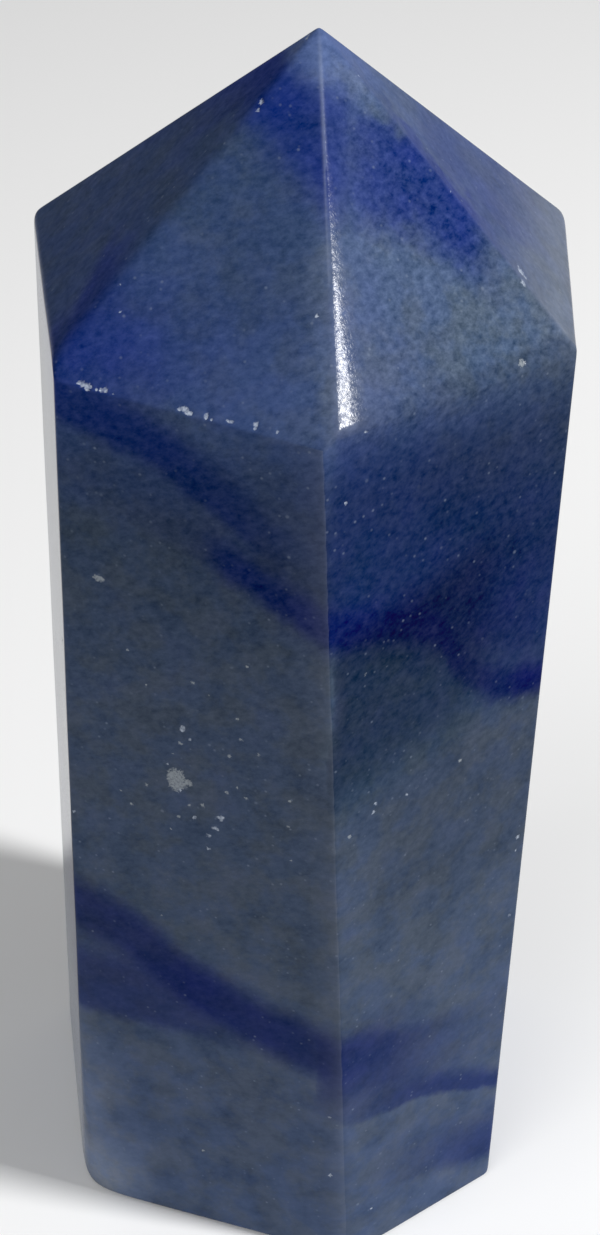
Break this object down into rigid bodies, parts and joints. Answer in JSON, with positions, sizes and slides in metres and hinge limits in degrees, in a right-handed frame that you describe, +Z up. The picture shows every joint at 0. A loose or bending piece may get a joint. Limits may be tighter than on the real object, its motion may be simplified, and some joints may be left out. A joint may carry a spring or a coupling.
{
  "type": "dumortierite tower",
  "caption": "Polished tower of dumortierite quartz: uneven flat sides under a faceted point, on a flat sawn base. A display stone that stands on its own.",
  "frame": {"origin": "middle of the tower's outline in plan, on the plane of its flat base", "axes": "+Z up the tower to its tip; -Y towards the viewer of the picture, with the front ridge nearest; +X to the viewer's right"},
  "size_m": [0.0294, 0.031, 0.0735],
  "materials": {
    "dumortierite": "hand-polished, semi-gloss, with fine pits"
  },
  "bodies": {
    "root": {"dumortierite_tower": "dumortierite"}
  },
  "joints": []
}
